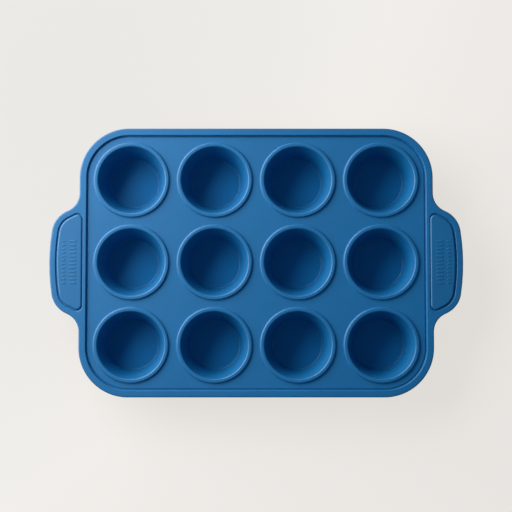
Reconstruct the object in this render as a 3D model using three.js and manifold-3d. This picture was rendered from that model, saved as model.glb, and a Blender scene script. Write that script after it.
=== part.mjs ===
// A silicone muffin pan: a flat deck with a raised border and a grip handle at each end, tapered cups whose
// floors push up to release a muffin, and a steel wire frame that the border is moulded over.
// Millimetres, +Z up. The pan lies as it does in an oven, mouths up, with the feet of its cups on Z = 0
// and the origin under its middle. X runs along the pan, from handle to handle.
import * as THREE from "three";
import { mergeVertices } from "three/addons/utils/BufferGeometryUtils.js";
import Module from "manifold-3d";

const wasm = await Module();
wasm.setup();

// The grid of cups
const COLUMNS = 4;
const ROWS = 3;
const LIP_GAP_X = 6.6; // between neighbouring lips along the pan
const LIP_GAP_Y = 6.0; // between neighbouring lips across the pan

// One cup
const CUP_MOUTH_RADIUS = 31.0; // inside, at the top of the lip
const CUP_DEPTH = 31.0; // inside, from the top of the lip to the floor
const CUP_DRAFT = 13.8; // degrees that the wall leans out from upright
const CUP_WALL = 1.8;
const CUP_FLOOR_CORNER = 1.5; // round between the wall and the floor
const LIP_WIDTH = 4.1;
const LIP_HEIGHT = 1.8; // above the deck
const LIP_ROUND = 0.9;
const FOOT_CORNER = 2.2; // round under the outside of the wall
const FOOT_LEDGE = 3.1; // fixed rim of the floor, inside the wall and round the panel

// The floor panel of a cup, which a thumb pushes up from below
const FLOOR_PANEL_THICKNESS = 1.6;
const FLOOR_RECESS = 0.4; // the panel stays this far above the foot, so the pan rests on its feet

// The steel frame, and the silicone round the channel that it lies in, between the deck and the border
const FRAME_DIAMETER = 2.4;
const FRAME_CLEARANCE = 0.4;
const FRAME_DROP = 0.4; // centre of the wire below the top of the deck
const FRAME_BED = 1.0; // under the channel
const FRAME_ROOF = 0.8; // over the channel
const FRAME_OUTER_WALL = 1.4; // from the channel to the outer edge of the pan
const FRAME_GRIP_WALL = 1.0; // from the channel to the window of a grip pad
const FRAME_INNER_WALL = 2.9; // from the channel to the inner edge of the border

// The border round the deck
const BORDER_ROUND = 1.2;
const LIP_TO_BORDER_X = 5.3; // from the last lip to the border, at the ends
const LIP_TO_BORDER_Y = 5.1; // the same at the long sides
const CORNER_EASE = 2.1; // the corners turn about points this far outside the axes of the corner cups

// The handles: straight shoulders that lean in from the root to the tip, and a bowed outer edge
const HANDLE_SETBACK = 25.5; // straight edge of the pan between a corner and the root
const HANDLE_ROOT_ROUND = 17.8;
const HANDLE_SHOULDER = 11.4; // the tip is this much nearer the middle of the pan than the root
const HANDLE_TIP_REACH = 23.4; // out from the end of the pan
const HANDLE_TIP_ROUND = 23.5;
const HANDLE_BOW_LEAN = 8.4; // degrees that each half of the outer edge leans back from square
const HANDLE_BOW_FLAT = 0.5; // straight part of the outer edge between the bow and the round of a tip

// The grip pads, each in a window of the border
const WINDOW_STRIP = 4.5; // border left between a window and the deck
const WINDOW_CORNER = 5.0;
const PAD_GROOVE = 1.5; // open groove between a pad and the band at the edge of its handle
const PAD_SEAM = 0.5; // the narrower groove between a pad and the strip at the deck
const PAD_RISE = 0.4; // a pad's top stands this far above the border's
const PAD_ROUND = 1.3;

// Clearances between the pieces
const SEAT_GAP = 0.05; // between flat faces that lie on each other
const SIDE_GAP = 0.3; // between walls that face each other

// Fineness of the facets
const CUP_SIDES = 24;
const OUTLINE_STEP = 10; // degrees of turn in each step of an outline's round
const SECTION_STEP = 60; // the same for the rounds of a cup's section
const EDGE_STEPS = 1; // steps of a rounded upper edge

// A round never takes more than this share of the wall that it is on.
const ROUND_SHARE = 0.45;

// Heights
const FLOOR_TOP = FLOOR_RECESS + FLOOR_PANEL_THICKNESS;
const LIP_TOP = FLOOR_TOP + CUP_DEPTH;
const DECK_TOP = LIP_TOP - LIP_HEIGHT;
const FRAME_HEIGHT = DECK_TOP - FRAME_DROP;
const CHANNEL_HALF = FRAME_DIAMETER / 2 + FRAME_CLEARANCE;
const DECK_BOTTOM = FRAME_HEIGHT - CHANNEL_HALF - FRAME_BED;
const BORDER_TOP = FRAME_HEIGHT + CHANNEL_HALF + FRAME_ROOF;

// Places in plan
const FRAME_INSET = FRAME_OUTER_WALL + CHANNEL_HALF;
const BORDER_WIDTH = FRAME_INSET + CHANNEL_HALF + FRAME_INNER_WALL;
const HANDLE_BAND = FRAME_INSET + CHANNEL_HALF + FRAME_GRIP_WALL;
const LIP_RADIUS = CUP_MOUTH_RADIUS + LIP_WIDTH;
const PITCH_X = 2 * LIP_RADIUS + LIP_GAP_X;
const PITCH_Y = 2 * LIP_RADIUS + LIP_GAP_Y;
const LAST_CUP_X = ((COLUMNS - 1) / 2) * PITCH_X;
const LAST_CUP_Y = ((ROWS - 1) / 2) * PITCH_Y;
const END_X = LAST_CUP_X + LIP_RADIUS + LIP_TO_BORDER_X + BORDER_WIDTH;
const SIDE_Y = LAST_CUP_Y + LIP_RADIUS + LIP_TO_BORDER_Y + BORDER_WIDTH;
const WINDOW_INNER_X = END_X - BORDER_WIDTH + WINDOW_STRIP;
const CORNER_RADIUS = Math.min(END_X - LAST_CUP_X, SIDE_Y - LAST_CUP_Y) - CORNER_EASE;

// Radius that a cup's wall gains for each millimetre of height
const WALL_SLANT = Math.tan(THREE.MathUtils.degToRad(CUP_DRAFT));
const CUP_FLOOR_RADIUS = CUP_MOUTH_RADIUS - CUP_DEPTH * WALL_SLANT;
const FOOT_RING_RADIUS = CUP_FLOOR_RADIUS - FOOT_LEDGE;

const silicone = new THREE.MeshStandardMaterial({ color: 0x25659f, roughness: 0.5, metalness: 0 });
const gripSilicone = new THREE.MeshStandardMaterial({ color: 0x25659f, roughness: 0.6, metalness: 0 });
const steel = new THREE.MeshStandardMaterial({ color: 0xb9bdc1, roughness: 0.35, metalness: 1 });

// Outlines are lists of corners {x, y, round}, taken anticlockwise.

// The directions in which an outline arrives at a corner and leaves it, and how far it turns there.
function directionsAt(corners, i) {
  const corner = corners[i];
  const before = corners.at(i - 1);
  const after = corners[(i + 1) % corners.length];
  const arriving = new THREE.Vector2(corner.x - before.x, corner.y - before.y).normalize();
  const leaving = new THREE.Vector2(after.x - corner.x, after.y - corner.y).normalize();
  const turn = Math.atan2(arriving.cross(leaving), arriving.dot(leaving));
  return { arriving, leaving, turn };
}

// The outline moved inwards: its sides stay parallel, outward rounds shrink and hollow rounds grow.
function inset(corners, distance) {
  return corners.map((corner, i) => {
    const { arriving, leaving, turn } = directionsAt(corners, i);
    const share = distance / (1 + arriving.dot(leaving));
    return {
      x: corner.x - (arriving.y + leaving.y) * share,
      y: corner.y + (arriving.x + leaving.x) * share,
      round: Math.max(0, corner.round - Math.sign(turn) * distance),
    };
  });
}

function mirrorX(corners) {
  return corners.map(({ x, y, round }) => ({ x: -x, y, round })).reverse();
}

// The points of an outline, with each corner as an arc that is tangent to both of its sides.
function outlinePoints(corners, stepDegrees) {
  const points = [];
  corners.forEach((corner, i) => {
    if (corner.round === 0) {
      points.push(new THREE.Vector2(corner.x, corner.y));
      return;
    }
    const { arriving, turn } = directionsAt(corners, i);
    const tangent = corner.round * Math.tan(Math.abs(turn) / 2);
    const start = new THREE.Vector2(corner.x, corner.y).addScaledVector(arriving, -tangent);
    const toCentre = new THREE.Vector2(-arriving.y, arriving.x).multiplyScalar(corner.round * Math.sign(turn));
    const centre = start.clone().add(toCentre);
    const steps = Math.max(1, Math.round(THREE.MathUtils.radToDeg(Math.abs(turn)) / stepDegrees));
    for (let step = 0; step <= steps; step++) {
      points.push(start.clone().rotateAround(centre, (turn * step) / steps));
    }
  });
  return points;
}

function shapeOf(corners) {
  return new THREE.Shape(outlinePoints(corners, OUTLINE_STEP));
}

// The corners of the right-hand handle, from its lower root to its upper one.
function handleCorners() {
  const rootY = SIDE_Y - CORNER_RADIUS - HANDLE_SETBACK;
  const tipY = rootY - HANDLE_SHOULDER;
  const tipX = END_X + HANDLE_TIP_REACH;
  const lean = THREE.MathUtils.degToRad(HANDLE_BOW_LEAN);
  const apexX = tipX + tipY * Math.tan(lean);
  const shoulderAngle = Math.atan2(HANDLE_SHOULDER, HANDLE_TIP_REACH);
  const tipTangent = HANDLE_TIP_ROUND * Math.tan((Math.PI / 2 - lean - shoulderAngle) / 2);
  const bowTangent = tipY / Math.cos(lean) - tipTangent - HANDLE_BOW_FLAT;
  return [
    { x: END_X, y: -rootY, round: HANDLE_ROOT_ROUND },
    { x: tipX, y: -tipY, round: HANDLE_TIP_ROUND },
    { x: apexX, y: 0, round: bowTangent / Math.tan(lean) },
    { x: tipX, y: tipY, round: HANDLE_TIP_ROUND },
    { x: END_X, y: rootY, round: HANDLE_ROOT_ROUND },
  ];
}

// The outer edge of the whole pan, handles included.
function panCorners() {
  const right = handleCorners();
  return [
    { x: END_X, y: -SIDE_Y, round: CORNER_RADIUS },
    ...right,
    { x: END_X, y: SIDE_Y, round: CORNER_RADIUS },
    { x: -END_X, y: SIDE_Y, round: CORNER_RADIUS },
    ...mirrorX(right),
    { x: -END_X, y: -SIDE_Y, round: CORNER_RADIUS },
  ];
}

// The inner edge of the border, where it steps down to the deck.
function fieldCorners() {
  const edge = [
    { x: END_X, y: -SIDE_Y, round: CORNER_RADIUS },
    { x: END_X, y: SIDE_Y, round: CORNER_RADIUS },
    { x: -END_X, y: SIDE_Y, round: CORNER_RADIUS },
    { x: -END_X, y: -SIDE_Y, round: CORNER_RADIUS },
  ];
  return inset(edge, BORDER_WIDTH);
}

// A field on the right-hand handle: the pan's outline moved in, closed by a straight side next to the deck.
function handleField(distance, innerX, innerRound) {
  const [root, tip, apex, otherTip] = inset(panCorners(), distance).slice(1, 5);
  const innerY = root.y + ((tip.y - root.y) / (tip.x - root.x)) * (innerX - root.x);
  return [
    { x: innerX, y: innerY, round: innerRound },
    tip,
    apex,
    otherTip,
    { x: innerX, y: -innerY, round: innerRound },
  ];
}

// The window in the border round the right-hand grip pad.
function windowCorners() {
  return handleField(HANDLE_BAND, WINDOW_INNER_X, WINDOW_CORNER);
}

// The outline of the right-hand grip pad itself.
function padCorners() {
  return handleField(HANDLE_BAND + PAD_GROOVE, WINDOW_INNER_X + PAD_SEAM, WINDOW_CORNER - PAD_SEAM);
}

function cupCentres() {
  const centres = [];
  for (let row = 0; row < ROWS; row++) {
    for (let column = 0; column < COLUMNS; column++) {
      centres.push({ x: column * PITCH_X - LAST_CUP_X, y: LAST_CUP_Y - row * PITCH_Y });
    }
  }
  return centres;
}

function cupOuterRadius(height) {
  return CUP_MOUTH_RADIUS - (LIP_TOP - height) * WALL_SLANT + CUP_WALL;
}

function solidOf(geometry) {
  const bare = geometry.clone();
  bare.deleteAttribute("normal");
  bare.deleteAttribute("uv");
  const merged = mergeVertices(bare);
  const vertProperties = new Float32Array(merged.attributes.position.array);
  const triVerts = new Uint32Array(merged.index.array);
  return new wasm.Manifold(new wasm.Mesh({ numProp: 3, vertProperties, triVerts }));
}

function geometryOf(solid) {
  const mesh = solid.getMesh();
  const geometry = new THREE.BufferGeometry();
  geometry.setAttribute("position", new THREE.BufferAttribute(mesh.vertProperties, 3));
  geometry.setIndex(new THREE.BufferAttribute(mesh.triVerts, 1));
  const faceted = geometry.toNonIndexed();
  faceted.computeVertexNormals();
  return faceted;
}

function plate(shape, low, high) {
  const geometry = new THREE.ExtrudeGeometry(shape, { depth: high - low, bevelEnabled: false });
  return geometry.translate(0, 0, low);
}

// A plate with both its upper and its lower edges rounded.
function softPlate(shape, low, high, round) {
  const geometry = new THREE.ExtrudeGeometry(shape, {
    depth: high - low - 2 * round,
    bevelThickness: round,
    bevelSize: round,
    bevelOffset: -round,
    bevelSegments: EDGE_STEPS,
  });
  return geometry.translate(0, 0, low + round);
}

// A plate with its upper edges rounded and its underside flat: the lower half of a soft plate is cut away.
function seatedPlate(shape, low, high, round) {
  const limited = Math.min(round, ROUND_SHARE * (high - low) * 2);
  const geometry = softPlate(shape, 2 * low - high, high, limited);
  geometry.computeBoundingBox();
  const size = geometry.boundingBox.getSize(new THREE.Vector3());
  const middle = geometry.boundingBox.getCenter(new THREE.Vector3());
  const cutter = new THREE.BoxGeometry(2 * size.x, 2 * size.y, size.z);
  cutter.translate(middle.x, middle.y, low - size.z / 2);
  return solidOf(geometry).subtract(solidOf(cutter));
}

// A ring that follows the pan's outer edge, of the given half width about the line of the wire.
function frameRing(halfWidth) {
  const ring = shapeOf(inset(panCorners(), FRAME_INSET - halfWidth));
  ring.holes.push(shapeOf(inset(panCorners(), FRAME_INSET + halfWidth)));
  return ring;
}

// The channel that the wire lies in, cut half from the deck below and half from the border above.
function frameChannel() {
  return solidOf(plate(frameRing(CHANNEL_HALF), FRAME_HEIGHT - CHANNEL_HALF, FRAME_HEIGHT + CHANNEL_HALF));
}

// The wire, bent round the pan's outline and closed on itself, with an eight-sided section.
function steelFrame() {
  const radius = FRAME_DIAMETER / 2;
  const facet = radius * (1 - Math.tan(Math.PI / 8));
  return softPlate(frameRing(radius), FRAME_HEIGHT - radius, FRAME_HEIGHT + radius, facet);
}

function deck() {
  const shape = shapeOf(panCorners());
  const holeRadius = cupOuterRadius(DECK_TOP) + SIDE_GAP;
  for (const { x, y } of cupCentres()) {
    const circle = new THREE.EllipseCurve(x, y, holeRadius, holeRadius).getPoints(CUP_SIDES);
    shape.holes.push(new THREE.Path(circle.slice(0, -1)));
  }
  return geometryOf(solidOf(plate(shape, DECK_BOTTOM, DECK_TOP)).subtract(frameChannel()));
}

function borderBand() {
  const shape = shapeOf(panCorners());
  shape.holes.push(shapeOf(fieldCorners()));
  shape.holes.push(shapeOf(windowCorners()));
  shape.holes.push(shapeOf(mirrorX(windowCorners())));
  const round = Math.min(BORDER_ROUND, ROUND_SHARE * WINDOW_STRIP);
  const band = seatedPlate(shape, DECK_TOP + SEAT_GAP, BORDER_TOP, round);
  return geometryOf(band.subtract(frameChannel()));
}

function gripPad(corners) {
  return geometryOf(seatedPlate(shapeOf(corners), DECK_TOP + SEAT_GAP, BORDER_TOP + PAD_RISE, PAD_ROUND));
}

// The lip, the tapered wall and the foot of a cup, open in the middle of its floor for the panel.
function cup() {
  const seat = DECK_TOP + SEAT_GAP;
  const lipRound = Math.min(LIP_ROUND, ROUND_SHARE * (LIP_TOP - seat), ROUND_SHARE * LIP_WIDTH);
  const section = [
    { x: FOOT_RING_RADIUS, y: 0, round: 0 },
    { x: cupOuterRadius(0), y: 0, round: FOOT_CORNER },
    { x: cupOuterRadius(seat), y: seat, round: 0 },
    { x: LIP_RADIUS, y: seat, round: 0 },
    { x: LIP_RADIUS, y: LIP_TOP, round: lipRound },
    { x: CUP_MOUTH_RADIUS, y: LIP_TOP, round: lipRound },
    { x: CUP_FLOOR_RADIUS, y: FLOOR_TOP, round: CUP_FLOOR_CORNER },
    { x: FOOT_RING_RADIUS, y: FLOOR_TOP, round: 0 },
  ];
  const points = outlinePoints(section, SECTION_STEP);
  return new THREE.LatheGeometry([...points, points[0]], CUP_SIDES).rotateX(Math.PI / 2);
}

function cupFloor() {
  const radius = FOOT_RING_RADIUS - SIDE_GAP;
  const panel = new THREE.CylinderGeometry(radius, radius, FLOOR_PANEL_THICKNESS, CUP_SIDES);
  return panel.rotateX(Math.PI / 2).translate(0, 0, FLOOR_RECESS + FLOOR_PANEL_THICKNESS / 2);
}

const pan = new THREE.Group();

function addPiece(name, geometry, material, x = 0, y = 0) {
  const piece = new THREE.Mesh(geometry, material);
  piece.name = name;
  piece.position.set(x, y, 0);
  pan.add(piece);
}

addPiece("deck", deck(), silicone);
addPiece("border_band", borderBand(), silicone);
addPiece("steel_frame", steelFrame(), steel);
addPiece("right_grip_pad", gripPad(padCorners()), gripSilicone);
addPiece("left_grip_pad", gripPad(mirrorX(padCorners())), gripSilicone);
cupCentres().forEach(({ x, y }, i) => {
  const number = String(i + 1).padStart(2, "0");
  addPiece(`cup_${number}`, cup(), silicone, x, y);
  addPiece(`cup_floor_${number}`, cupFloor(), silicone, x, y);
});

export default pan;
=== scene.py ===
# %% [markdown]
# # A silicone muffin pan
# The real pan is one moulding of soft blue silicone over a loop of steel wire: a flat deck with a
# raised border, twelve lipped cups, and a handle with a grip pad at each end.
# It could be sculpted as one mesh, but each cup floor has to push up on its own. So the deck and
# its border are one piece, every cup is a skin of its own, and the skins meet the deck where the
# eye can't find the seam.

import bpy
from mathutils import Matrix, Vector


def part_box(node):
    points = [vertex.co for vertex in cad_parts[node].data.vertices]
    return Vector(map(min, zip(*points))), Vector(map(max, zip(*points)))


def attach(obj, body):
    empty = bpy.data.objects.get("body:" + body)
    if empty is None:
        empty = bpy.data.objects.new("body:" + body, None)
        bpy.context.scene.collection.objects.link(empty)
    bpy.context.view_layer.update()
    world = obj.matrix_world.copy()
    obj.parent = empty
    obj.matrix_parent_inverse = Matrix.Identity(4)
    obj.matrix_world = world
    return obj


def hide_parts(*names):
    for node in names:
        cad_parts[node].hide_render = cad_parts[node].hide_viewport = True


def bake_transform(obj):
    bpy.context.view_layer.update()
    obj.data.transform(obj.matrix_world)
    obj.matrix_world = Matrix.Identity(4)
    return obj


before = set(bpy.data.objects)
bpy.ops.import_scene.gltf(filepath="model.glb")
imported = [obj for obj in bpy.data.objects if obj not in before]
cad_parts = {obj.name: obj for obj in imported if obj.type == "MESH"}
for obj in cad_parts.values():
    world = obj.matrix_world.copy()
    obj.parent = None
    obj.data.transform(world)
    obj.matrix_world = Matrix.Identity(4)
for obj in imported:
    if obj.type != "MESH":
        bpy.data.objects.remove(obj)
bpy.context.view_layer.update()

# %% [markdown]
# ## Heights and places
# A maker would read these off the drawing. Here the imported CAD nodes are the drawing, so the
# heights and the axes of the cups are measured on them. All drawing below is in millimetres, and a
# finished piece is scaled to metres once.

# %% Measure the CAD nodes, in millimetres
import bmesh
import bpy
from math import atan2, copysign, radians, tan
from mathutils import Matrix, Vector

MM = 0.001


def node_box(node):
    low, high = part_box(node)
    return low / MM, high / MM


deck_low, deck_high = node_box("deck")
DECK_BOTTOM = round(deck_low.z, 2)
DECK_TOP = round(deck_high.z, 2)
BORDER_TOP = round(node_box("border_band")[1].z, 2)
LIP_TOP = round(node_box("cup_01")[1].z, 2)
FLOOR_TOP = round(node_box("cup_floor_01")[1].z, 2)
print("deck", DECK_BOTTOM, "to", DECK_TOP, "border", BORDER_TOP)
print("lip", LIP_TOP, "cup floor", FLOOR_TOP)

# %% Find the axes of the cups
CUPS = [f"{number:02d}" for number in range(1, 13)]
cup_axes = {}
for number in CUPS:
    low, high = node_box("cup_" + number)
    cup_axes[number] = (round((low.x + high.x) / 2, 2), round((low.y + high.y) / 2, 2))
print("axes of the first and the last cup:", cup_axes[CUPS[0]], cup_axes[CUPS[-1]])

# %% [markdown]
# ## The outline of the pan
# Seen from above, the pan is a rectangle with big round corners, and a handle grows out of each
# end through a hollow round. A curve object could draw it, but then its edges couldn't be moved in
# by an exact distance. So the outline is a short list of corners, each with the radius of its
# round, and the pan's symmetry gives three quarters of the list.

# %% List the corners of the outline as x, y and round
END_X = 163.1
SIDE_Y = round(deck_high.y, 2)
HANDLE_APEX = (192.61, 0.0, 196.1)
HANDLE_TIP = (186.5, 41.4, 23.5)
HANDLE_ROOT = (END_X, 52.8, 17.8)
CORNER_RADIUS = 45.6
PAN_CORNER = (END_X, SIDE_Y, CORNER_RADIUS)


def turned_half(corners):
    return [(-x, -y, turn_radius) for x, y, turn_radius in corners]


quarter = [HANDLE_APEX, HANDLE_TIP, HANDLE_ROOT, PAN_CORNER]
right_side = [(x, -y, turn_radius) for x, y, turn_radius in reversed(quarter[1:])] + quarter
pan_outline = right_side + turned_half(right_side)
print("outline of the pan:", len(pan_outline), "corners")

# %% [markdown]
# A moulded wall follows the outline at many small offsets. Moving a corner list in keeps its sides
# parallel: outward rounds get smaller and hollow rounds get larger, just as a cutter's path would.

# %% Move an outline in
LEAST_ROUND = 0.05


def side_directions(corners, i):
    here = Vector(corners[i][:2])
    arriving = (here - Vector(corners[i - 1][:2])).normalized()
    leaving = (Vector(corners[(i + 1) % len(corners)][:2]) - here).normalized()
    return arriving, leaving, atan2(arriving.cross(leaving), arriving.dot(leaving))


def moved_in(corners, distance):
    moved = []
    for i, (x, y, turn_radius) in enumerate(corners):
        arriving, leaving, turn = side_directions(corners, i)
        inward = (arriving + leaving).orthogonal()
        place = Vector((x, y)) + inward * distance / (1 + arriving.dot(leaving))
        new_radius = max(LEAST_ROUND, turn_radius - copysign(distance, turn))
        moved.append((place.x, place.y, new_radius))
    return moved


print("moved in by 10 mm, the handle ends at", round(moved_in(pan_outline, 10)[3][0], 2))

# %% [markdown]
# Each round is drawn by spinning one vertex about the centre of the round, which leaves a chain of
# edges with an exact radius. A straight edge then joins each round to the next. A vertex bevel
# would be shorter to write, but away from square corners it draws an ellipse.

# %% Draw an outline as a loop of edges
ROUND_STEP = radians(3)
FEWEST_STEPS = 3


def draw_outline(bm, corners, round_step=ROUND_STEP):
    known = set(bm.edges)
    ends = []
    for i, (x, y, turn_radius) in enumerate(corners):
        arriving, leaving, turn = side_directions(corners, i)
        start = Vector((x, y)) - arriving * turn_radius * tan(abs(turn) / 2)
        centre = start + arriving.orthogonal() * copysign(turn_radius, turn)
        first = bm.verts.new((*start, 0))
        steps = max(FEWEST_STEPS, round(abs(turn) / round_step))
        drawn = bmesh.ops.spin(
            bm, geom=[first], cent=(*centre, 0), axis=(0, 0, 1), angle=turn, steps=steps
        )
        ends.append((first, drawn["geom_last"][0]))
    for (_, last), (following, _) in zip(ends, ends[1:] + ends[:1]):
        bm.edges.new((last, following))
    return [edge for edge in bm.edges if edge not in known]


trial = bmesh.new()
print("edges round the pan:", len(draw_outline(trial, pan_outline)))
trial.free()

# %% [markdown]
# ## Walls, rounds and flat faces
# A silicone moulding shows no sharp edge: the mould is rounded so that the piece lets go. A wall is
# made of loops of the same outline, and its section lists them as offset, height and bevel. The
# loops are bridged as a tall stack, where each corner finds its partner, and then moved to their
# heights: loops in one plane can be bridged with a twist. Only then are the loops at its edges
# bevelled, between clean strips of four-sided faces.

# %% Bridge a wall as a stack, settle its loops, and bevel those that are its edges
STACK_STEP = 20.0
BEVEL = {"offset_type": "OFFSET", "segments": 6, "profile": 0.5, "material": -1}


def lift_loop(bm, loop, distance):
    verts = list({vert for edge in loop for vert in edge.verts})
    bmesh.ops.translate(bm, vec=(0, 0, distance), verts=verts)


def raise_wall(bm, corners, section, round_step=ROUND_STEP):
    loops = []
    for level, (offset, _, _) in enumerate(section):
        loops.append(draw_outline(bm, moved_in(corners, offset), round_step))
        lift_loop(bm, loops[-1], level * STACK_STEP)
    for below, above in zip(loops, loops[1:]):
        bmesh.ops.bridge_loops(bm, edges=below + above)
    for level, (loop, (_, height, _)) in enumerate(zip(loops, section)):
        lift_loop(bm, loop, height - level * STACK_STEP)
    for loop, (_, _, width) in zip(loops, section):
        if width:
            bmesh.ops.bevel(bm, geom=loop, offset=width, affect="EDGES", loop_slide=True, **BEVEL)


trial = bmesh.new()
raise_wall(trial, pan_outline, [(0, 0, 0), (0, 5, 1), (2, 5, 0)])
print("a trial wall:", len(trial.faces), "faces")
trial.free()

# %% [markdown]
# The flat faces come last, and fill all the open rims at one height: an outer rim, and a hole for
# each rim inside it. The outermost strip of every wall already lies in that plane, so the flat
# faces shade flat right up to it.

# %% Fill the open rims at a height
LEVEL_TOLERANCE = 0.001


def at_level(edge, height):
    return all(abs(vert.co.z - height) < LEVEL_TOLERANCE for vert in edge.verts)


def fill_level(bm, height):
    rim = [edge for edge in bm.edges if len(edge.link_faces) < 2 and at_level(edge, height)]
    made = bmesh.ops.triangle_fill(bm, use_beauty=True, edges=rim, normal=(0, 0, 1))
    return sum(isinstance(part, bmesh.types.BMFace) for part in made["geom"])


trial = bmesh.new()
draw_outline(trial, pan_outline)
print("a trial sheet:", fill_level(trial, 0), "faces")
trial.free()

# %% [markdown]
# Every piece is finished in one way: doubles merged, faces turned outwards, scaled to metres,
# shaded smooth, and cut sharp only where two faces meet at a real corner. The count of open edges
# must be nought, because a moulding is solid.

# %% Turn a drawn shape into a finished piece
MERGE_DISTANCE = 0.0005
SHARP_DEGREES = 38


def finish_piece(bm, name):
    bmesh.ops.remove_doubles(bm, verts=bm.verts, dist=MERGE_DISTANCE)
    bmesh.ops.recalc_face_normals(bm, faces=bm.faces)
    bmesh.ops.scale(bm, vec=(MM, MM, MM), verts=bm.verts)
    for face in bm.faces:
        face.smooth = True
    open_edges = sum(not edge.is_manifold for edge in bm.edges)
    mesh = bpy.data.meshes.new(name)
    bm.to_mesh(mesh)
    bm.free()
    mesh.set_sharp_from_angle(angle=radians(SHARP_DEGREES))
    piece = bpy.data.objects.new(name, mesh)
    bpy.context.scene.collection.objects.link(piece)
    print(f"{name}: {len(mesh.polygons)} faces, {open_edges} open edges")
    return piece


print("edges of more than", SHARP_DEGREES, "degrees stay sharp")

# %% [markdown]
# ## Deck and border
# The border hides the steel wire, and stands 2 mm above the deck. Its outer edge is well rounded.
# Its inner side falls steeply into a fine gutter, which draws a dark line round the deck. A plate
# with a border added on top would show a line where they meet, so both are one skin.

# %% Raise the outer wall
BORDER_ROUND = 1.1
body_bm = bmesh.new()
raise_wall(
    body_bm,
    pan_outline,
    [
        (1.3, DECK_BOTTOM, 0),
        (0.0, DECK_BOTTOM, 0.9),
        (0.0, BORDER_TOP, BORDER_ROUND),
        (1.9, BORDER_TOP, 0),
    ],
)
print("faces in the outer wall:", len(body_bm.faces))

# %% Sink the inner side of the border, with its gutter
GUTTER_DEPTH = 0.8
GUTTER_FLOOR = DECK_TOP - GUTTER_DEPTH
field_edge = [(END_X, -SIDE_Y, CORNER_RADIUS), PAN_CORNER]
field_edge += turned_half(field_edge)
raise_wall(
    body_bm,
    field_edge,
    [
        (5.45, BORDER_TOP, 0),
        (6.2, BORDER_TOP, 0.35),
        (7.0, GUTTER_FLOOR, 0.15),
        (7.5, GUTTER_FLOOR, 0.15),
        (8.1, DECK_TOP, 0.25),
        (8.8, DECK_TOP, 0),
    ],
    ROUND_STEP / 2,
)
print("faces in both walls:", len(body_bm.faces))

# %% [markdown]
# Each handle has a window in the border, where the grip pad stands in a groove. The window follows
# the handle's own edge at one width, and a straight side closes it next to the deck. The pad's
# outline is found in the same way.

# %% Sink the windows of the two grip pads
HANDLE_BAND = 5.6
WINDOW_INNER_X = 160.1
WINDOW_ROUND = 5.0
GROOVE_DEPTH = 1.3
GROOVE_FLOOR = BORDER_TOP - GROOVE_DEPTH


def handle_field(band, inner_x, inner_round):
    root, tip, apex, other_tip = moved_in(pan_outline, band)[1:5]
    slope = (tip[1] - root[1]) / (tip[0] - root[0])
    inner_y = root[1] + slope * (inner_x - root[0])
    near, far = (inner_x, inner_y, inner_round), (inner_x, -inner_y, inner_round)
    return [near, tip, apex, other_tip, far]


right_window = handle_field(HANDLE_BAND, WINDOW_INNER_X, WINDOW_ROUND)
for window in (right_window, turned_half(right_window)):
    raise_wall(
        body_bm,
        window,
        [
            (-1.0, BORDER_TOP, 0),
            (0.0, BORDER_TOP, 0.7),
            (0.0, GROOVE_FLOOR, 0.2),
            (0.24, GROOVE_FLOOR, 0),
        ],
    )
print("corners of a window:", [(round(x, 1), round(y, 1)) for x, y, _ in right_window])

# %% [markdown]
# A cup's skin ends in a narrow flange that lies in the deck. The deck gets a round hole for it, of
# the same radius and with the same number of sides, so the two rims share every corner and no seam
# can be seen.

# %% Cut the holes of the cups
SEAM_RADIUS = 36.0
CUP_STEPS = 96
for x, y in cup_axes.values():
    ring = bmesh.ops.create_circle(
        body_bm,
        cap_ends=False,
        radius=SEAM_RADIUS,
        segments=CUP_STEPS,
        matrix=Matrix.Translation((x, y, DECK_TOP)),
    )
    rim = list(dict.fromkeys(edge for vert in ring["verts"] for edge in vert.link_edges))
    sunk = bmesh.ops.extrude_edge_only(body_bm, edges=rim)
    sunk_verts = [part for part in sunk["geom"] if isinstance(part, bmesh.types.BMVert)]
    bmesh.ops.translate(body_bm, vec=(0, 0, DECK_BOTTOM - DECK_TOP), verts=sunk_verts)
print("holes cut:", len(cup_axes))

# %% Close the flat faces and finish the piece
for level in (BORDER_TOP, GROOVE_FLOOR, DECK_TOP, DECK_BOTTOM):
    print("flat faces filled at", round(level, 2), "mm:", fill_level(body_bm, level))
pan_body = finish_piece(body_bm, "pan_body")
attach(pan_body, "pan")
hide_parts("deck", "border_band")

# %% [markdown]
# ## The cups
# A cup is a body of revolution: a foot ring, a tapered wall, a rounded lip and a thin floor. So
# half of its section is drawn as a chain of a few vertices, their corners are rounded with vertex
# bevels, and one spin makes the cup. The wall gets many rings, because it rolls when the floor is
# pushed up.

# %% Draw the section of a cup as radius, height and round
MOUTH_RADIUS = 31.0
FLOOR_RADIUS = 23.38
FOOT_RADIUS = 24.69
section = [
    (0.0, 0.4, 0),
    (19.4, 0.4, 0),
    (20.0, 0.4, 0.3),
    (20.3, 0.0, 0.3),
    (21.0, 0.0, 0),
    (FOOT_RADIUS, 0.0, 2.2),
    (31.62, DECK_BOTTOM, 2.0),
    (SEAM_RADIUS, DECK_BOTTOM, 0),
    (SEAM_RADIUS, DECK_TOP, 0),
    (34.95, DECK_TOP, 0.3),
    (34.5, LIP_TOP, 0.9),
    (33.5, LIP_TOP, 0),
    (32.4, LIP_TOP, 0),
    (MOUTH_RADIUS, LIP_TOP, 1.4),
    (FLOOR_RADIUS, FLOOR_TOP, 1.0),
    (20.6, FLOOR_TOP, 0),
    (0.0, FLOOR_TOP, 0),
]
cup_bm = bmesh.new()
corners = [cup_bm.verts.new((radius, 0, height)) for radius, height, _ in section]
for before, after in zip(corners, corners[1:]):
    cup_bm.edges.new((before, after))
print("section of a cup:", len(corners), "corners")

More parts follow.
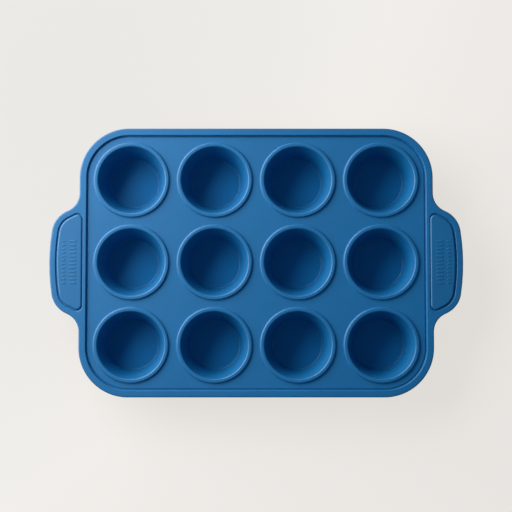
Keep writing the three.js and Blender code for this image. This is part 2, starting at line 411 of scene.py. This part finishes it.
# %% Round its corners and give its wall many rings
TALL_EDGE = 10
WALL_CUTS = 26
for i, (radius, height, corner_radius) in enumerate(section):
    if corner_radius:
        here = Vector((radius, height))
        arriving = here - Vector(section[i - 1][:2])
        leaving = Vector(section[i + 1][:2]) - here
        reach = corner_radius * tan(arriving.angle(leaving) / 2)
        bmesh.ops.bevel(cup_bm, geom=[corners[i]], offset=reach, affect="VERTICES", **BEVEL)
walls = [e for e in cup_bm.edges if abs(e.verts[0].co.z - e.verts[1].co.z) > TALL_EDGE]
bmesh.ops.subdivide_edges(cup_bm, edges=walls, cuts=WALL_CUTS)
print("section rounded:", len(cup_bm.verts), "vertices")

# %% Spin the section into a cup
bmesh.ops.spin(
    cup_bm,
    geom=cup_bm.verts[:] + cup_bm.edges[:],
    cent=(0, 0, 0),
    axis=(0, 0, 1),
    angle=radians(360),
    steps=CUP_STEPS,
    use_merge=True,
)
bmesh.ops.remove_doubles(cup_bm, verts=cup_bm.verts, dist=MERGE_DISTANCE)
print("a cup:", len(cup_bm.faces), "faces")

# %% [markdown]
# Twelve copies go to the axes of the CAD cups. In use a thumb pushes a floor up, and the soft wall
# follows it less and less towards the deck.

# %% Set twelve cups in the deck
cup_skins = {}
for number, (x, y) in cup_axes.items():
    one_bm = cup_bm.copy()
    bmesh.ops.translate(one_bm, vec=(x, y, 0), verts=one_bm.verts)
    skin = finish_piece(one_bm, "cup_skin_" + number)
    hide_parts("cup_" + number, "cup_floor_" + number)
    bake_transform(skin)
    cup_skins[number] = skin
cup_bm.free()

# %% [markdown]
# ## The grip pads
# A pad is a raised island with a soft rounded edge, a little higher than the border. Its groove is
# open along the edge of the handle, and next to the deck it is only a seam. Its foot is sunk in the
# floor of the groove, as in a moulding. A rim with no hole inside it needs no triangles: one flat
# face closes it.

# %% Raise the right pad
PAD_GROOVE = 1.3
PAD_SEAM = 0.3
PAD_ROUND = 4.5
PAD_RISE = 0.2
PAD_SINK = 0.2
PAD_TOP = round(node_box("right_grip_pad")[1].z, 2) + PAD_RISE
PAD_FOOT = GROOVE_FLOOR - PAD_SINK


def close_rims(bm):
    rims = [edge for edge in bm.edges if edge.is_boundary]
    return len(bmesh.ops.holes_fill(bm, edges=rims, sides=0)["faces"])


pad_bm = bmesh.new()
raise_wall(
    pad_bm,
    handle_field(HANDLE_BAND + PAD_GROOVE, WINDOW_INNER_X + PAD_SEAM, PAD_ROUND),
    [
        (0.0, PAD_FOOT, 0),
        (0.0, PAD_TOP, 1.4),
        (1.8, PAD_TOP, 0),
    ],
)
print("flat faces on the pad:", close_rims(pad_bm))

# %% [markdown]
# Two columns of low ribs give the thumb a hold. One rib of each column is drawn like a small wall
# with its foot sunk in the pad, and the rest are copies of it, a pitch apart. A bump texture would
# do from above, but not at a low angle.

# %% Set two columns of ribs on the pad
RIBS = 12
RIB_PITCH = 3.5
RIB_HEIGHT = 0.3
RIB_SINK = 0.4
RIB_TOP = PAD_TOP + RIB_HEIGHT
RIB_FOOT = PAD_TOP - RIB_SINK
RIB_ROUND_SHARE = 0.48
RIB_ROUND_STEP = radians(18)
for low_x, high_x, rib_width in ((165.7, 172.1, 1.6), (175.5, 179.1, 1.3)):
    pad_faces = set(pad_bm.faces)
    low_y = (1 - RIBS) / 2 * RIB_PITCH - rib_width / 2
    high_y = low_y + rib_width
    rib_ends = [(low_x, low_y), (high_x, low_y), (high_x, high_y), (low_x, high_y)]
    raise_wall(
        pad_bm,
        [(x, y, RIB_ROUND_SHARE * rib_width) for x, y in rib_ends],
        [
            (0.0, RIB_FOOT, 0),
            (0.12, RIB_TOP, 0.2),
            (0.42, RIB_TOP, 0),
        ],
        RIB_ROUND_STEP,
    )
    close_rims(pad_bm)
    bmesh.ops.spin(
        pad_bm,
        geom=[face for face in pad_bm.faces if face not in pad_faces],
        cent=(0, 0, 0),
        axis=(0, 0, 1),
        dvec=(0, RIB_PITCH, 0),
        angle=0,
        steps=RIBS - 1,
        use_duplicate=True,
    )
    print("ribs set from", low_x, "to", high_x, "mm:", RIBS)

# %% [markdown]
# The pan looks the same when it is turned half round, so the left pad is the right one, turned.

# %% Turn a copy for the left handle
grip_pads = {}
for side, half_turns in (("right", 0), ("left", 1)):
    side_bm = pad_bm.copy()
    turn = Matrix.Rotation(radians(180 * half_turns), 3, "Z")
    bmesh.ops.rotate(side_bm, cent=(0, 0, 0), matrix=turn, verts=side_bm.verts)
    pad = finish_piece(side_bm, side + "_pad")
    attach(pad, "pan")
    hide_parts(side + "_grip_pad")
    grip_pads[side] = pad
pad_bm.free()

# %% [markdown]
# ## The silicone
# Moulded silicone is satin: it takes the fine texture of the mould, so a light spreads into a broad
# pale sheen. A second, smoother reflection, the coat, draws the thin bright lines along the rounded
# edges. Down in the cups the sheen is faded towards their floors: painted shade, less reflection
# deep in the cups.
# The pigment is deep blue and a little uneven. A plain colour would look like paint, so slow noise
# moves the colour and the roughness, and two finer noises make the grain and the faint waves of a
# soft sheet.


# %% Start a material and add nodes to it
def add_node(tree, kind, place, **values):
    node = tree.nodes.new(kind)
    node.location = place
    for socket, value in values.items():
        node.inputs[socket.replace("_", " ")].default_value = value
    return node


def new_material(name):
    material = bpy.data.materials.new(name)
    material.use_nodes = True
    tree = material.node_tree
    tree.nodes.clear()
    return material, tree, tree.nodes.new("ShaderNodeOutputMaterial")


def set_ramp(ramp, stops):
    for element, (position, colour) in zip(ramp.color_ramp.elements, stops):
        element.position = position
        element.color = (*colour, 1)


print("materials so far:", len(bpy.data.materials))

# %% Mix the silicone
SHINE = {"IOR": 1.55, "Coat_Weight": 0.7, "Coat_Roughness": 0.39}
# Painted shade: the specular level falls from the deck down to the cup floors, darkening the cups'
# reflection.
PAINTED_SHADE_FADE = {"From_Min": FLOOR_TOP * MM, "From_Max": DECK_TOP * MM, "To_Min": 0.04, "To_Max": 0.5}


def add_noise(tree, place, **values):
    return add_node(tree, "ShaderNodeTexNoise", place, **values)


def mix_silicone(name, dark, pale, rough_from, rough_to, grain):
    material, tree, output = new_material(name)
    link = tree.links.new
    place = add_node(tree, "ShaderNodeTexCoord", (-1200, 0))
    shader = add_node(tree, "ShaderNodeBsdfPrincipled", (-200, 0), **SHINE)
    height = add_node(tree, "ShaderNodeSeparateXYZ", (-1000, 600))
    # Painted shade: the height of a point sets the specular level, lower deep in the cups.
    sheen_painted_shade = add_node(tree, "ShaderNodeMapRange", (-700, 600), **PAINTED_SHADE_FADE)
    clouds = add_noise(tree, (-1000, 300), Scale=22.0, Detail=4.0, Roughness=0.6)
    colour = add_node(tree, "ShaderNodeValToRGB", (-700, 300))
    set_ramp(colour, [(0.3, dark), (0.7, pale)])
    rubbed = add_noise(tree, (-1000, 0), Scale=140.0, Detail=3.0)
    rough = add_node(tree, "ShaderNodeMapRange", (-700, 0), To_Min=rough_from, To_Max=rough_to)
    fine = add_noise(tree, (-1000, -300), Scale=3200.0, Detail=2.0)
    waves = add_noise(tree, (-1000, -500), Scale=70.0, Detail=1.0)
    grain_bump = add_node(tree, "ShaderNodeBump", (-700, -300), Strength=grain, Distance=0.00008)
    wave_bump = add_node(tree, "ShaderNodeBump", (-450, -300), Strength=0.12, Distance=0.0004)
    for reader in (height, clouds, rubbed, fine, waves):
        link(place.outputs["Object"], reader.inputs["Vector"])
    link(height.outputs["Z"], sheen_painted_shade.inputs["Value"])
    link(sheen_painted_shade.outputs["Result"], shader.inputs["Specular IOR Level"])
    link(clouds.outputs["Fac"], colour.inputs["Fac"])
    link(colour.outputs["Color"], shader.inputs["Base Color"])
    link(rubbed.outputs["Fac"], rough.inputs["Value"])
    link(rough.outputs["Result"], shader.inputs["Roughness"])
    link(fine.outputs["Fac"], grain_bump.inputs["Height"])
    link(grain_bump.outputs["Normal"], wave_bump.inputs["Normal"])
    link(waves.outputs["Fac"], wave_bump.inputs["Height"])
    link(wave_bump.outputs["Normal"], shader.inputs["Normal"])
    link(shader.outputs["BSDF"], output.inputs["Surface"])
    return material


silicone = mix_silicone(
    "satin_silicone",
    dark=(0.0008, 0.1415, 0.351),
    pale=(0.0016, 0.155, 0.384),
    rough_from=0.49,
    rough_to=0.59,
    grain=0.25,
)
print("mixed", silicone.name)

# %% [markdown]
# The grip pads are of the same silicone, from a part of the mould with a coarser texture. They look
# a little darker and more matte, so they get a mix of their own.

# %% Mix the silicone of the pads, and dress the pieces
grip_silicone = mix_silicone(
    "grip_silicone",
    dark=(0.0008, 0.1325, 0.327),
    pale=(0.0016, 0.1455, 0.359),
    rough_from=0.51,
    rough_to=0.61,
    grain=0.35,
)
for piece in (pan_body, *cup_skins.values()):
    piece.data.materials.append(silicone)
for piece in grip_pads.values():
    piece.data.materials.append(grip_silicone)
print("pieces of silicone:", 1 + len(cup_skins) + len(grip_pads))

# %% [markdown]
# ## The wire
# The frame is drawn steel wire, closed in the border and unseen. Its CAD shape is right, so the
# node stays and gets a finish: bright metal, with fine noise for the marks that the die leaves.


# %% Finish the steel wire
def draw_steel(name):
    material, tree, output = new_material(name)
    link = tree.links.new
    place = add_node(tree, "ShaderNodeTexCoord", (-1100, 0))
    shader = add_node(tree, "ShaderNodeBsdfPrincipled", (-200, 0), Metallic=1.0)
    marks = add_noise(tree, (-850, 0), Scale=900.0, Detail=3.0)
    colour = add_node(tree, "ShaderNodeValToRGB", (-600, 150))
    set_ramp(colour, [(0.0, (0.42, 0.43, 0.44)), (1.0, (0.60, 0.61, 0.62))])
    rough = add_node(tree, "ShaderNodeMapRange", (-600, -150), To_Min=0.25, To_Max=0.42)
    link(place.outputs["Object"], marks.inputs["Vector"])
    link(marks.outputs["Fac"], colour.inputs["Fac"])
    link(colour.outputs["Color"], shader.inputs["Base Color"])
    link(marks.outputs["Fac"], rough.inputs["Value"])
    link(rough.outputs["Result"], shader.inputs["Roughness"])
    link(shader.outputs["BSDF"], output.inputs["Surface"])
    return material


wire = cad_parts["steel_frame"]
wire.data.materials.clear()
wire.data.materials.append(draw_steel("drawn_steel"))
print("wire frame finished:", wire.name)

# %% [markdown]
# ## Floor, light and camera
# The pan lies on a plain pale sheet that runs past the picture on all sides. To the camera the
# sheet is pale by its own colour, and only part of its light comes from the lamp, so that it keeps
# a soft shadow. Its own part is weaker towards the lamp, which evens the tone out, as a second lamp
# would on a long paper sweep.

# %% Lay the floor
FLOOR_HALF = 3.0
FLOOR_DROP = 0.0002
floor_bm = bmesh.new()
bmesh.ops.create_grid(floor_bm, x_segments=1, y_segments=1, size=FLOOR_HALF)
bmesh.ops.translate(floor_bm, vec=(0, 0, -FLOOR_DROP), verts=floor_bm.verts)
floor_mesh = bpy.data.meshes.new("floor")
floor_bm.to_mesh(floor_mesh)
floor_bm.free()
floor = bpy.data.objects.new("floor", floor_mesh)
bpy.context.scene.collection.objects.link(floor)
print("floor laid,", 2 * FLOOR_HALF, "m wide")

# %% Give the floor its pale tone
PALE = (0.86, 0.81, 0.76, 1)
SHEET = (0.2, 0.2, 0.195, 1)
LAMP_PLACE = Vector((-0.578, 0.4, 0.403))
floor_material, tree, output = new_material("pale_sheet")
link = tree.links.new
place = add_node(tree, "ShaderNodeTexCoord", (-1200, -200))
away = add_node(tree, "ShaderNodeVectorMath", (-1000, -200))
away.operation = "DISTANCE"
away.inputs[1].default_value = (LAMP_PLACE.x, LAMP_PLACE.y, 0)
evened_values = {"From_Min": 0.33, "From_Max": 0.72, "To_Min": 0.55, "To_Max": 0.86}
evened = add_node(tree, "ShaderNodeMapRange", (-800, -200), **evened_values)
path = add_node(tree, "ShaderNodeLightPath", (-800, 0))
share = add_node(tree, "ShaderNodeMath", (-600, -100))
share.operation = "MULTIPLY"
lit = add_node(tree, "ShaderNodeBsdfDiffuse", (-400, 100), Color=SHEET)
glow = add_node(tree, "ShaderNodeEmission", (-400, -100), Color=PALE)
both = add_node(tree, "ShaderNodeAddShader", (-150, 0))
link(place.outputs["Object"], away.inputs[0])
link(away.outputs["Value"], evened.inputs["Value"])
link(path.outputs["Is Camera Ray"], share.inputs[0])
link(evened.outputs["Result"], share.inputs[1])
link(share.outputs[0], glow.inputs["Strength"])
link(lit.outputs["BSDF"], both.inputs[0])
link(glow.outputs["Emission"], both.inputs[1])
link(both.outputs["Shader"], output.inputs["Surface"])
floor_mesh.materials.append(floor_material)
print("floor toned:", floor_material.name)

# %% [markdown]
# One large soft lamp stands to the upper left and close by, so the left end is brighter than the
# right one, as under a studio softbox. The room adds only a weak fill, which leaves the near walls
# of the cups dark.

# %% Set the lamp
LAMP_WIDE, LAMP_HIGH = 1.03, 0.57
LAMP_POWER = 12.2
LAMP_AIM = Vector((0.06, 0.045, 0.03))
scene = bpy.context.scene
scene.view_settings.view_transform = "Standard"
lamp_data = bpy.data.lights.new("softbox", "AREA")
lamp_data.shape = "RECTANGLE"
lamp_data.size = LAMP_WIDE
lamp_data.size_y = LAMP_HIGH
lamp_data.energy = LAMP_POWER
lamp = bpy.data.objects.new("softbox", lamp_data)
lamp.location = LAMP_PLACE
lamp.rotation_euler = (LAMP_AIM - LAMP_PLACE).to_track_quat("-Z", "Y").to_euler()
scene.collection.objects.link(lamp)
print("lamp of", LAMP_POWER, "W,", round((LAMP_AIM - LAMP_PLACE).length, 2), "m from the pan")

# %% Fill the room
FILL = (0.14, 0.66, 1.0, 1)
world = bpy.data.worlds.new("room")
world.use_nodes = True
scene.world = world
tree = world.node_tree
tree.nodes.clear()
link = tree.links.new
output = tree.nodes.new("ShaderNodeOutputWorld")
path = add_node(tree, "ShaderNodeLightPath", (-600, 200))
seen = add_node(tree, "ShaderNodeBackground", (-400, -100), Color=PALE, Strength=1.0)
fill = add_node(tree, "ShaderNodeBackground", (-400, 100), Color=FILL, Strength=0.22)
mixed = add_node(tree, "ShaderNodeMixShader", (-150, 0))
link(path.outputs["Is Camera Ray"], mixed.inputs["Fac"])
link(fill.outputs["Background"], mixed.inputs[1])
link(seen.outputs["Background"], mixed.inputs[2])
link(mixed.outputs["Shader"], output.inputs["Surface"])
print("room filled:", world.name)

# %% [markdown]
# The camera looks almost straight down from a little over a metre, through a long lens, so the cups
# at the ends show only a little more of their far walls than those in the middle.

# %% Set the camera
CAMERA_PLACE = (-0.0002, -0.0569, 1.1295)
CAMERA_TILT = radians(3.265)
camera_data = bpy.data.cameras.new("camera")
camera_data.lens = 83.92
camera_data.sensor_width = 36.0
camera = bpy.data.objects.new("camera", camera_data)
camera.location = CAMERA_PLACE
camera.rotation_euler = (CAMERA_TILT, 0, 0)
scene.collection.objects.link(camera)
scene.camera = camera
print("camera at", CAMERA_PLACE)
